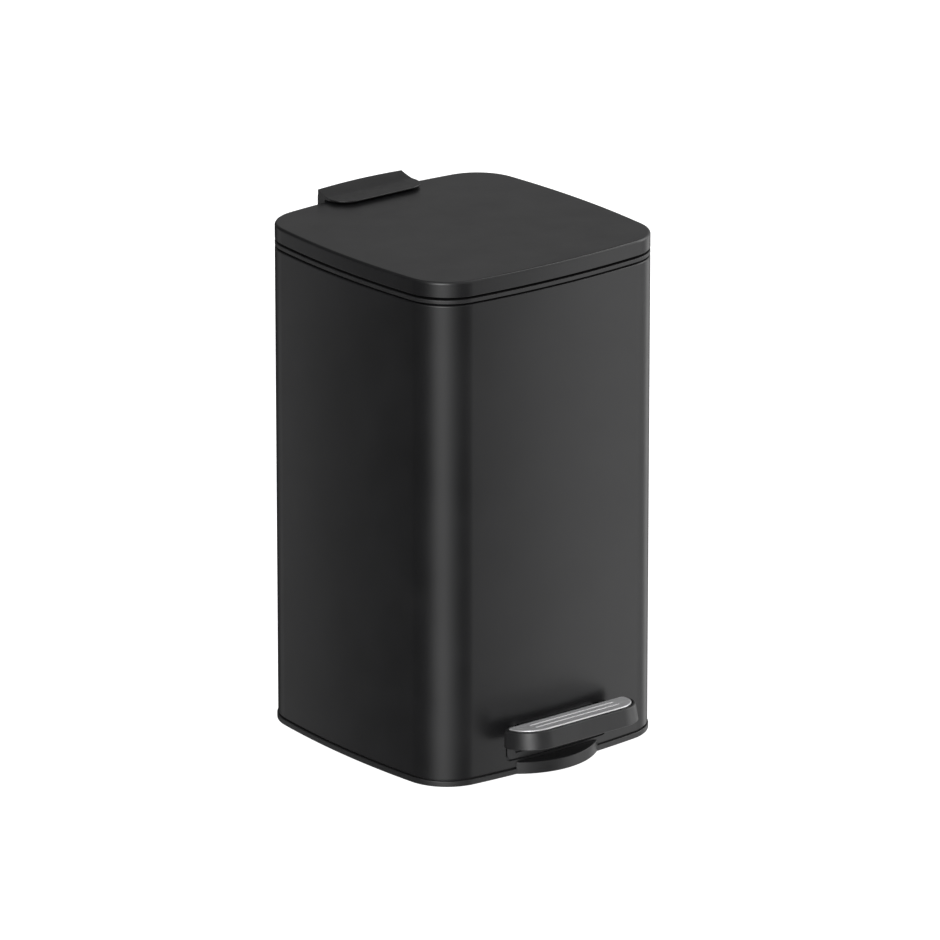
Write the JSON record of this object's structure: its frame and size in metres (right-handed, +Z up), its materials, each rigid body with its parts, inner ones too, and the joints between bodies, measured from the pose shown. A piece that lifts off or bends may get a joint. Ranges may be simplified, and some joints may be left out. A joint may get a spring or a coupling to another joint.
{
  "type": "pedal trash can",
  "caption": "Satin black rounded-square pedal bin: front pedal lifts the rear-hinged lid through a lever and push rod, with a lift-out inner bucket.",
  "frame": {"origin": "on the floor, at the centre of the bounding box", "axes": "+Z up, -Y towards the pedal at the front, +X to the right of somebody who looks from the back"},
  "size_m": [0.2336, 0.286, 0.4075],
  "materials": {
    "satin_black_steel": "satin black powder coat",
    "black_plastic": "fine matt moulded",
    "grey_plastic": "smooth moulded",
    "brushed_steel": "brushed along its length",
    "zinc_plated_steel": "zinc plated",
    "black_rubber": "matt",
    "natural_nylon": "natural, slightly translucent"
  },
  "bodies": {
    "bin_body": {"axle_clip_left": "zinc_plated_steel", "axle_clip_right": "zinc_plated_steel", "base_tray": "black_plastic", "foot_front_left": "black_rubber", "foot_front_right": "black_rubber", "foot_rear_left": "black_rubber", "foot_rear_right": "black_rubber", "guide_rivet_lower_left": "zinc_plated_steel", "guide_rivet_lower_right": "zinc_plated_steel", "guide_rivet_upper_left": "zinc_plated_steel", "guide_rivet_upper_right": "zinc_plated_steel", "hinge_housing": "black_plastic", "hinge_pin": "zinc_plated_steel", "housing_screw_left": "zinc_plated_steel", "housing_screw_right": "zinc_plated_steel", "inner_bucket": "grey_plastic", "outer_shell": "satin_black_steel", "pedal_axle": "zinc_plated_steel", "pedal_slot_frame": "black_plastic", "rim_collar": "black_plastic", "rod_guide_lower": "natural_nylon", "rod_guide_upper": "natural_nylon"},
    "lid": {"lid_shell": "satin_black_steel", "lid_liner": "black_plastic", "lid_seal": "black_rubber", "hinge_cover": "black_plastic", "lid_crank": "zinc_plated_steel", "crank_pin": "zinc_plated_steel", "cover_screw_left": "zinc_plated_steel", "cover_screw_right": "zinc_plated_steel", "lid_bumper_front_left": "black_rubber", "lid_bumper_front_right": "black_rubber", "lid_bumper_rear_left": "black_rubber", "lid_bumper_rear_right": "black_rubber"},
    "pedal": {"pedal_lever": "zinc_plated_steel", "pedal_cover": "black_plastic", "pedal_insert": "brushed_steel", "pedal_screw_left": "zinc_plated_steel", "pedal_screw_right": "zinc_plated_steel", "lever_bush_left": "natural_nylon", "lever_bush_right": "natural_nylon"},
    "push_rod": {"push_rod": "zinc_plated_steel", "rod_nut_lower": "zinc_plated_steel", "rod_nut_upper": "zinc_plated_steel", "rod_yoke": "natural_nylon"}
  },
  "joints": [
    {"name": "lid_hinge", "type": "hinge", "parent": "bin_body", "child": "lid", "pos_m": [0, 0.13303, 0.377], "axis": [-1, 0, 0], "range_deg": [0, 80]},
    {"name": "pedal_pivot", "type": "hinge", "parent": "bin_body", "child": "pedal", "pos_m": [0, 0.00003, 0.023], "axis": [1, 0, 0], "range_deg": [0, 9.24]},
    {"name": "rod_lift", "type": "slide", "parent": "bin_body", "child": "push_rod", "axis": [0, 0, 1], "range_m": [0, 0.0193]}
  ],
  "couplings": [
    {"joint": "pedal_pivot", "follows": "lid_hinge", "ratio": 0.11538},
    {"joint": "rod_lift", "follows": "lid_hinge", "m_per_rad": 0.013811}
  ]
}
